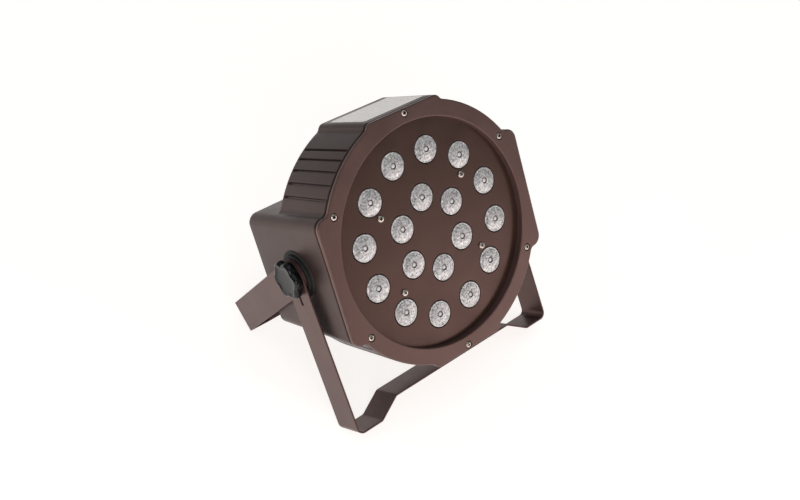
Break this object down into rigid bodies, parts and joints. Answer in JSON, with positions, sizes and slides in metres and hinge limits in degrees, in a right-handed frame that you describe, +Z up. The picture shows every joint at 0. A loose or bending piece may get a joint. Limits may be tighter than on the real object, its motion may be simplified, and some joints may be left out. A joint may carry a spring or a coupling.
{
  "type": "par can light",
  "caption": "Flat stage par can light with a ring of lenses behind a screwed bezel, a boxed rear, and a double yoke on knobs that hangs it or stands it.",
  "frame": {"origin": "on the surface that the lamp stands on, under the middle of its box", "axes": "+Z up, the lenses face -Y and 32 degrees up, +X is the viewer's right facing the lenses"},
  "size_m": [0.2242, 0.176, 0.2191],
  "materials": {
    "housing_black": "satin fine-grained",
    "bezel_black": "satin fine-grained",
    "plate_black": "satin powder coat",
    "rubber_black": "matt",
    "screw_steel": "nickel plated",
    "label_silver": "satin silver film",
    "lens_clear": "clear moulded optics",
    "holder_black": "matt",
    "led_red": "glossy",
    "led_green": "glossy",
    "led_blue": "glossy",
    "board_white": "white solder mask",
    "sink_aluminium": "extruded",
    "post_brass": "machined",
    "circuit_green": "solder mask",
    "circuit_blue": "solder mask",
    "wire_red": "cable sleeve",
    "panel_black": "satin powder coat",
    "display_dark": "smoked",
    "window_red": "smoked red",
    "button_grey": "satin",
    "shell_nickel": "satin nickel",
    "socket_black": "satin",
    "pin_steel": "zinc plated",
    "fuse_glass": "clear",
    "fan_black": "satin",
    "guard_steel": "plated wire",
    "yoke_paint": "satin powder coat",
    "knob_gloss": "glossy"
  },
  "bodies": {
    "head": {"rear_housing": "housing_black", "front_bezel": "bezel_black", "bezel_gasket": "rubber_black", "bezel_screws": "screw_steel", "face_plate": "plate_black", "face_plate_screws": "screw_steel", "rating_label": "label_silver", "lenses_red": "lens_clear", "lenses_green": "lens_clear", "lenses_blue": "lens_clear", "lens_holders": "holder_black", "leds_red": "led_red", "leds_green": "led_green", "leds_blue": "led_blue", "led_board": "board_white", "heat_sink": "sink_aluminium", "board_posts": "post_brass", "power_board": "circuit_green", "control_board": "circuit_blue", "led_harness": "wire_red", "rear_panel": "panel_black", "rear_panel_screws": "screw_steel", "display_module": "display_dark", "display_window": "window_red", "button_board": "circuit_green", "dmx_in_shell": "shell_nickel", "dmx_in_pins": "post_brass", "dmx_out_shell": "socket_black", "connector_screws": "screw_steel", "mains_inlet": "socket_black", "mains_pins": "pin_steel", "fan_frame": "fan_black", "fan_guard": "guard_steel", "fan_screws": "screw_steel", "safety_tab": "pin_steel", "safety_tab_screws": "screw_steel", "pivot_studs": "pin_steel", "pivot_nuts": "pin_steel", "pivot_spacers": "rubber_black"},
    "menu_button": {"button_menu": "button_grey"},
    "down_button": {"button_down": "button_grey"},
    "up_button": {"button_up": "button_grey"},
    "enter_button": {"button_enter": "button_grey"},
    "dmx_latch": {"dmx_out_latch": "shell_nickel"},
    "fuse_holder": {"fuse_drawer": "socket_black", "fuse": "fuse_glass"},
    "fan_rotor": {"fan_rotor": "fan_black"},
    "front_yoke": {"front_yoke": "yoke_paint"},
    "rear_yoke": {"rear_yoke": "yoke_paint"},
    "left_washer": {"left_washer": "pin_steel"},
    "right_washer": {"right_washer": "pin_steel"},
    "left_knob": {"left_knob": "knob_gloss"},
    "right_knob": {"right_knob": "knob_gloss"}
  },
  "joints": [
    {"name": "front_yoke_swing", "type": "hinge", "parent": "head", "child": "front_yoke", "pos_m": [0, 0.00667, 0.11489], "axis": [1, 0, 0], "range_deg": [-9, 176]},
    {"name": "rear_yoke_swing", "type": "hinge", "parent": "head", "child": "rear_yoke", "pos_m": [0, 0.00667, 0.11489], "axis": [1, 0, 0], "range_deg": [-70, 115]},
    {"name": "left_washer_slide", "type": "slide", "parent": "head", "child": "left_washer", "axis": [-1, 0, 0], "range_m": [0, 0.002]},
    {"name": "left_knob_turn", "type": "hinge", "parent": "left_washer", "child": "left_knob", "pos_m": [0, 0.00667, 0.11489], "axis": [-1, 0, 0], "range_deg": [0, 721]},
    {"name": "right_washer_slide", "type": "slide", "parent": "head", "child": "right_washer", "axis": [1, 0, 0], "range_m": [0, 0.002]},
    {"name": "right_knob_turn", "type": "hinge", "parent": "right_washer", "child": "right_knob", "pos_m": [0, 0.00667, 0.11489], "axis": [1, 0, 0], "range_deg": [0, 721]},
    {"name": "menu_button_press", "type": "slide", "parent": "head", "child": "menu_button", "axis": [0, -0.848, 0.5299], "range_m": [0, 0.0008], "stiffness_N_per_m": 300},
    {"name": "down_button_press", "type": "slide", "parent": "head", "child": "down_button", "axis": [0, -0.848, 0.5299], "range_m": [0, 0.0008], "stiffness_N_per_m": 300},
    {"name": "up_button_press", "type": "slide", "parent": "head", "child": "up_button", "axis": [0, -0.848, 0.5299], "range_m": [0, 0.0008], "stiffness_N_per_m": 300},
    {"name": "enter_button_press", "type": "slide", "parent": "head", "child": "enter_button", "axis": [0, -0.848, 0.5299], "range_m": [0, 0.0008], "stiffness_N_per_m": 300},
    {"name": "dmx_latch_press", "type": "slide", "parent": "head", "child": "dmx_latch", "axis": [0, -0.848, 0.5299], "range_m": [0, 0.0012], "stiffness_N_per_m": 500},
    {"name": "fuse_drawer_slide", "type": "slide", "parent": "head", "child": "fuse_holder", "axis": [0, 0.848, -0.5299], "range_m": [0, 0.015]},
    {"name": "fan_spin", "type": "hinge", "parent": "head", "child": "fan_rotor", "pos_m": [-0.05, 0.03911, 0.08849], "axis": [0, -0.848, 0.5299], "continuous": true}
  ],
  "couplings": [
    {"joint": "left_knob_turn", "follows": "left_washer_slide", "rad_per_m": 6283.2},
    {"joint": "right_knob_turn", "follows": "right_washer_slide", "rad_per_m": 6283.2}
  ]
}
